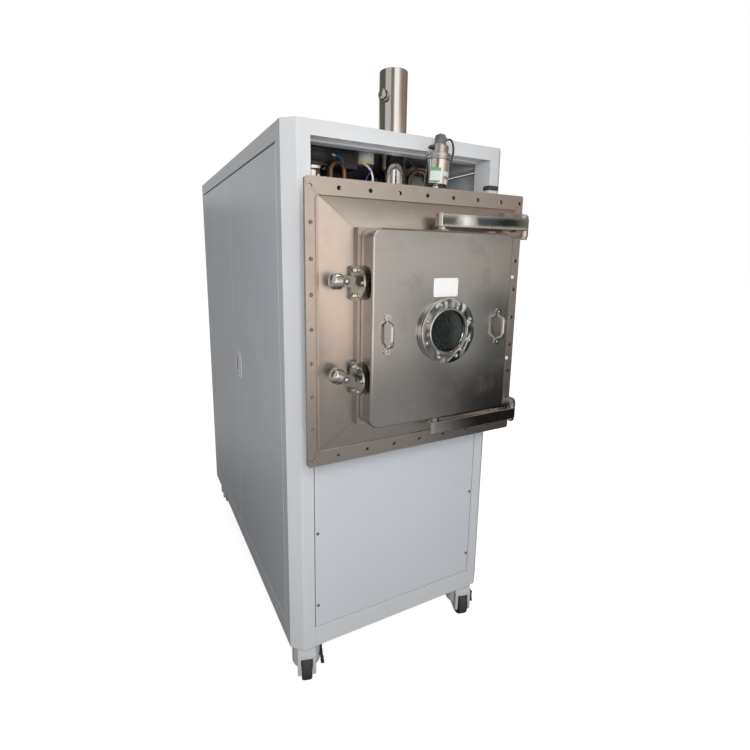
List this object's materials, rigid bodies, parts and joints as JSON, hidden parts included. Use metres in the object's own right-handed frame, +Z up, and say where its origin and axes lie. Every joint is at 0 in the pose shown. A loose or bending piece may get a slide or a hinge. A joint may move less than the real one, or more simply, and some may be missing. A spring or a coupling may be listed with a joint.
{
  "type": "freeze dryer",
  "caption": "Pilot freeze dryer: a square vacuum chamber with a sight glass door on parallel hinge arms, in a steel cabinet on braked swivel casters.",
  "frame": {"origin": "middle of the machine's footprint on the floor", "axes": "+X to the right seen from the door, +Y towards the back, +Z up"},
  "size_m": [0.844, 1.796, 2.18],
  "materials": {
    "cabinet_paint": "powder coat",
    "panel_paint": "powder coat",
    "dark_paint": "satin",
    "zinc_steel": "zinc plated",
    "stainless": "brushed",
    "door_steel": "fine brushed, nearly mirror",
    "bright_steel": "polished",
    "insulation_skin": "dull sheet over foam",
    "copper": "dulled copper",
    "black_plastic": "matt",
    "grey_plastic": "matt",
    "caster_plastic": "moulded",
    "white_plastic": "gloss",
    "black_rubber": "matt",
    "seal_rubber": "matt",
    "clear_glass": "clear"
  },
  "bodies": {
    "cabinet": {"front_posts": "cabinet_paint", "rear_posts": "cabinet_paint", "cross_rails": "cabinet_paint", "side_rails": "cabinet_paint", "floor_pan": "zinc_steel", "top_panel": "cabinet_paint", "rear_panel": "panel_paint", "left_front_panel": "panel_paint", "left_rear_panel": "panel_paint", "right_front_panel": "panel_paint", "right_rear_panel": "panel_paint", "lower_front_panel": "panel_paint", "panel_screws": "zinc_steel", "post_strip": "black_rubber", "caster_plates": "zinc_steel", "wall_flange": "stainless", "hood": "stainless", "chamber": "stainless", "jacket": "insulation_skin", "door_seal": "seal_rubber", "hinge_brackets": "stainless", "hinge_pins": "bright_steel", "hood_plugs": "white_plastic", "latch_bases": "bright_steel", "latch_bolts": "bright_steel", "shelves": "stainless", "shelf_rack": "stainless", "cold_plates": "stainless", "stack_pipe": "stainless", "vacuum_gauge": "bright_steel", "gauge_lead": "grey_plastic", "isolation_valve": "black_plastic", "control_box": "black_plastic", "copper_pipes": "copper", "switch_cabinet": "dark_paint", "compressor": "dark_paint", "vacuum_pump": "dark_paint"},
    "door_arms": {"upper_arm": "door_steel", "lower_arm": "door_steel"},
    "door": {"door_shell": "door_steel", "door_liner": "stainless", "sight_base": "stainless", "sight_ring": "stainless", "sight_glass": "clear_glass", "door_screws": "bright_steel", "door_handles": "bright_steel", "door_lugs": "stainless", "label_plate": "white_plastic"},
    "upper_latch": {"upper_latch_knob": "bright_steel"},
    "lower_latch": {"lower_latch_knob": "bright_steel"},
    "front_left_caster": {"front_left_fork": "caster_plastic"},
    "front_left_wheel_set": {"front_left_wheel": "black_rubber"},
    "front_left_brake": {"front_left_pedal": "black_plastic"},
    "front_right_caster": {"front_right_fork": "caster_plastic"},
    "front_right_wheel_set": {"front_right_wheel": "black_rubber"},
    "front_right_brake": {"front_right_pedal": "black_plastic"},
    "rear_left_caster": {"rear_left_fork": "caster_plastic"},
    "rear_left_wheel_set": {"rear_left_wheel": "black_rubber"},
    "rear_right_caster": {"rear_right_fork": "caster_plastic"},
    "rear_right_wheel_set": {"rear_right_wheel": "black_rubber"}
  },
  "joints": [
    {"name": "front_left_swivel", "type": "hinge", "parent": "cabinet", "child": "front_left_caster", "pos_m": [-0.354, -0.571, 0.14], "axis": [0, 0, 1], "continuous": true},
    {"name": "front_left_roll", "type": "hinge", "parent": "front_left_caster", "child": "front_left_wheel_set", "pos_m": [-0.35868, -0.5863, 0.06], "axis": [0.9563, -0.2924, 0], "continuous": true},
    {"name": "front_left_pedal_tip", "type": "hinge", "parent": "front_left_caster", "child": "front_left_brake", "pos_m": [-0.29949, -0.58766, 0.084], "axis": [0.2924, 0.9563, 0], "range_deg": [-25, 0]},
    {"name": "front_right_swivel", "type": "hinge", "parent": "cabinet", "child": "front_right_caster", "pos_m": [0.354, -0.571, 0.14], "axis": [0, 0, 1], "continuous": true},
    {"name": "front_right_roll", "type": "hinge", "parent": "front_right_caster", "child": "front_right_wheel_set", "pos_m": [0.34932, -0.5863, 0.06], "axis": [0.9563, -0.2924, 0], "continuous": true},
    {"name": "front_right_pedal_tip", "type": "hinge", "parent": "front_right_caster", "child": "front_right_brake", "pos_m": [0.40851, -0.58766, 0.084], "axis": [0.2924, 0.9563, 0], "range_deg": [-25, 0]},
    {"name": "rear_left_swivel", "type": "hinge", "parent": "cabinet", "child": "rear_left_caster", "pos_m": [-0.354, 0.832, 0.14], "axis": [0, 0, 1], "continuous": true},
    {"name": "rear_left_roll", "type": "hinge", "parent": "rear_left_caster", "child": "rear_left_wheel_set", "pos_m": [-0.35868, 0.8167, 0.06], "axis": [0.9563, -0.2924, 0], "continuous": true},
    {"name": "rear_right_swivel", "type": "hinge", "parent": "cabinet", "child": "rear_right_caster", "pos_m": [0.354, 0.832, 0.14], "axis": [0, 0, 1], "continuous": true},
    {"name": "rear_right_roll", "type": "hinge", "parent": "rear_right_caster", "child": "rear_right_wheel_set", "pos_m": [0.34932, 0.8167, 0.06], "axis": [0.9563, -0.2924, 0], "continuous": true},
    {"name": "arm_swing", "type": "hinge", "parent": "cabinet", "child": "door_arms", "pos_m": [0.357, -0.803, 1.315], "axis": [0, 0, 1], "range_deg": [0, 120]},
    {"name": "door_swivel", "type": "hinge", "parent": "door_arms", "child": "door", "pos_m": [0.018, -0.803, 1.315], "axis": [0, 0, 1], "range_deg": [-120, 0]},
    {"name": "upper_latch_turn", "type": "hinge", "parent": "cabinet", "child": "upper_latch", "pos_m": [-0.308, -0.802, 1.46], "axis": [0, 1, 0], "range_deg": [0, 90]},
    {"name": "lower_latch_turn", "type": "hinge", "parent": "cabinet", "child": "lower_latch", "pos_m": [-0.308, -0.802, 1.18], "axis": [0, 1, 0], "range_deg": [-25, 65]}
  ],
  "couplings": [
    {"joint": "door_swivel", "follows": "arm_swing", "ratio": -1}
  ]
}
